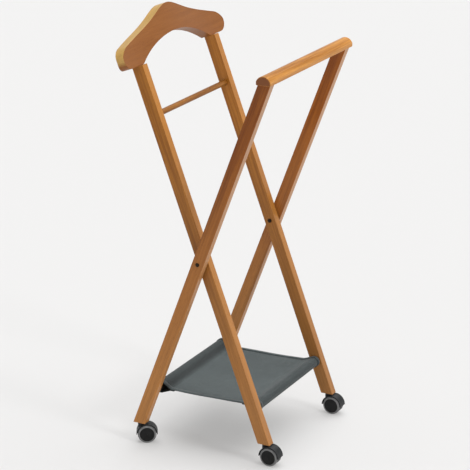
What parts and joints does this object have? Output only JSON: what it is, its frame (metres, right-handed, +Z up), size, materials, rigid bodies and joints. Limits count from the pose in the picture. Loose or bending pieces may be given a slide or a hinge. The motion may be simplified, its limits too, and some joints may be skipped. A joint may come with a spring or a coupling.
{
  "type": "valet stand",
  "caption": "Folding wooden valet stand: crossed leg frames with a hanger-shaped top, a trouser bar and a cloth shelf, on swivelling hooded casters.",
  "frame": {"origin": "on the floor, at the centre of the bounding box's base", "axes": "+X along the bars to the right, +Y towards the hanger side, +Z up; the trouser bar is on the -Y side"},
  "size_m": [0.449, 0.3922, 0.9677],
  "materials": {
    "beech": "honey stain under satin lacquer",
    "dark_rod": "black stain, satin",
    "canvas": "grey woven canvas",
    "dark_steel": "blackened",
    "steel": "zinc plated",
    "nylon": "black moulded nylon",
    "tread": "light grey, matt"
  },
  "bodies": {
    "hanger_frame": {"hanger_top": "beech", "hanger_leg_left": "beech", "hanger_leg_right": "beech", "cross_rail": "beech", "front_shelf_rod": "dark_rod", "shelf_fabric": "canvas", "hanger_dowel_left": "beech", "hanger_dowel_right": "beech", "caster_socket_front_left": "nylon", "caster_socket_front_right": "nylon"},
    "trouser_frame": {"trouser_bar": "beech", "trouser_leg_left": "beech", "trouser_leg_right": "beech", "back_shelf_rod": "dark_rod", "trouser_bar_dowel_left": "beech", "trouser_bar_dowel_right": "beech", "pivot_bolt_left": "dark_steel", "pivot_bolt_right": "dark_steel", "pivot_washer_left": "nylon", "pivot_washer_right": "nylon", "pivot_nut_left": "dark_steel", "pivot_nut_right": "dark_steel", "caster_socket_back_left": "nylon", "caster_socket_back_right": "nylon"},
    "caster_front_left": {"caster_hood_front_left": "nylon", "caster_stem_front_left": "steel", "caster_axle_front_left": "steel"},
    "wheel_front_left_left": {"caster_core_front_left_left": "nylon", "caster_tread_front_left_left": "tread"},
    "wheel_front_left_right": {"caster_core_front_left_right": "nylon", "caster_tread_front_left_right": "tread"},
    "caster_front_right": {"caster_hood_front_right": "nylon", "caster_stem_front_right": "steel", "caster_axle_front_right": "steel"},
    "wheel_front_right_left": {"caster_core_front_right_left": "nylon", "caster_tread_front_right_left": "tread"},
    "wheel_front_right_right": {"caster_core_front_right_right": "nylon", "caster_tread_front_right_right": "tread"},
    "caster_back_left": {"caster_hood_back_left": "nylon", "caster_stem_back_left": "steel", "caster_axle_back_left": "steel"},
    "wheel_back_left_left": {"caster_core_back_left_left": "nylon", "caster_tread_back_left_left": "tread"},
    "wheel_back_left_right": {"caster_core_back_left_right": "nylon", "caster_tread_back_left_right": "tread"},
    "caster_back_right": {"caster_hood_back_right": "nylon", "caster_stem_back_right": "steel", "caster_axle_back_right": "steel"},
    "wheel_back_right_left": {"caster_core_back_right_left": "nylon", "caster_tread_back_right_left": "tread"},
    "wheel_back_right_right": {"caster_core_back_right_right": "nylon", "caster_tread_back_right_right": "tread"}
  },
  "joints": [
    {"name": "fold", "type": "hinge", "parent": "hanger_frame", "child": "trouser_frame", "pos_m": [0, -0.0097, 0.4479], "axis": [-1, 0, 0], "range_deg": [0, 30], "deforming": ["shelf_fabric"]},
    {"name": "swivel_front_left", "type": "hinge", "parent": "hanger_frame", "child": "caster_front_left", "pos_m": [-0.1625, -0.15914, 0.047], "axis": [0, 0, 1], "continuous": true},
    {"name": "roll_front_left_left", "type": "hinge", "parent": "caster_front_left", "child": "wheel_front_left_left", "pos_m": [-0.1625, -0.17214, 0.021], "axis": [1, 0, 0], "continuous": true},
    {"name": "roll_front_left_right", "type": "hinge", "parent": "caster_front_left", "child": "wheel_front_left_right", "pos_m": [-0.1625, -0.17214, 0.021], "axis": [1, 0, 0], "continuous": true},
    {"name": "swivel_front_right", "type": "hinge", "parent": "hanger_frame", "child": "caster_front_right", "pos_m": [0.1625, -0.15914, 0.047], "axis": [0, 0, 1], "continuous": true},
    {"name": "roll_front_right_left", "type": "hinge", "parent": "caster_front_right", "child": "wheel_front_right_left", "pos_m": [0.1625, -0.17214, 0.021], "axis": [1, 0, 0], "continuous": true},
    {"name": "roll_front_right_right", "type": "hinge", "parent": "caster_front_right", "child": "wheel_front_right_right", "pos_m": [0.1625, -0.17214, 0.021], "axis": [1, 0, 0], "continuous": true},
    {"name": "swivel_back_left", "type": "hinge", "parent": "trouser_frame", "child": "caster_back_left", "pos_m": [-0.185, 0.14213, 0.047], "axis": [0, 0, 1], "continuous": true},
    {"name": "roll_back_left_left", "type": "hinge", "parent": "caster_back_left", "child": "wheel_back_left_left", "pos_m": [-0.1785, 0.13087, 0.021], "axis": [0.866, 0.5, 0], "continuous": true},
    {"name": "roll_back_left_right", "type": "hinge", "parent": "caster_back_left", "child": "wheel_back_left_right", "pos_m": [-0.1785, 0.13087, 0.021], "axis": [0.866, 0.5, 0], "continuous": true},
    {"name": "swivel_back_right", "type": "hinge", "parent": "trouser_frame", "child": "caster_back_right", "pos_m": [0.185, 0.14213, 0.047], "axis": [0, 0, 1], "continuous": true},
    {"name": "roll_back_right_left", "type": "hinge", "parent": "caster_back_right", "child": "wheel_back_right_left", "pos_m": [0.1877, 0.12942, 0.021], "axis": [0.9781, 0.2079, 0], "continuous": true},
    {"name": "roll_back_right_right", "type": "hinge", "parent": "caster_back_right", "child": "wheel_back_right_right", "pos_m": [0.1877, 0.12942, 0.021], "axis": [0.9781, 0.2079, 0], "continuous": true}
  ]
}
